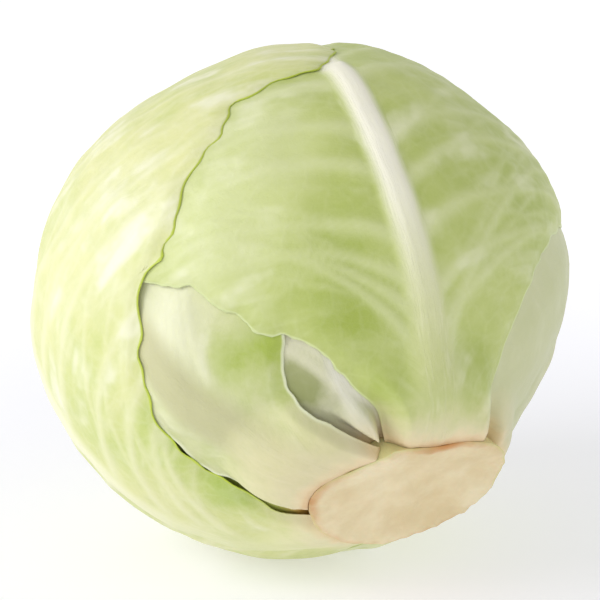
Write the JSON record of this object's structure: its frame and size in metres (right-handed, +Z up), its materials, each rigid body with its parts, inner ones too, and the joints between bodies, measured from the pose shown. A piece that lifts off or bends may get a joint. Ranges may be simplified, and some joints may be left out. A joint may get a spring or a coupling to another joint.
{
  "type": "white cabbage head",
  "caption": "Dense round head of white cabbage lying on its side, with broad overlapping ribbed leaves that wrap a packed inner head and a cut stem facing forwards and down.",
  "frame": {"origin": "centre of the small flat spot that the head rests on, straight below the head's centre, on the floor", "axes": "+Z up, -Y towards the cut stem, +X to the right as seen from in front of the stem"},
  "size_m": [0.1533, 0.1484, 0.1465],
  "materials": {
    "leaf_pale": "waxy pale yellow-green leaf with fine veins",
    "leaf_green": "waxy light green leaf with pale ribs",
    "leaf_inner_pale": "smooth cream to pale green leaf stalk",
    "inner_leaves": "packed pale inner leaves, smooth",
    "cut_stem": "dry cut stem, beige with a browned rim"
  },
  "bodies": {
    "root": {"inner_head": "inner_leaves", "stem": "cut_stem", "leaf_under": "leaf_pale", "leaf_left": "leaf_pale", "leaf_front": "leaf_green", "leaf_right": "leaf_pale", "leaf_lower": "leaf_inner_pale", "leaf_inner": "leaf_inner_pale"}
  },
  "joints": []
}
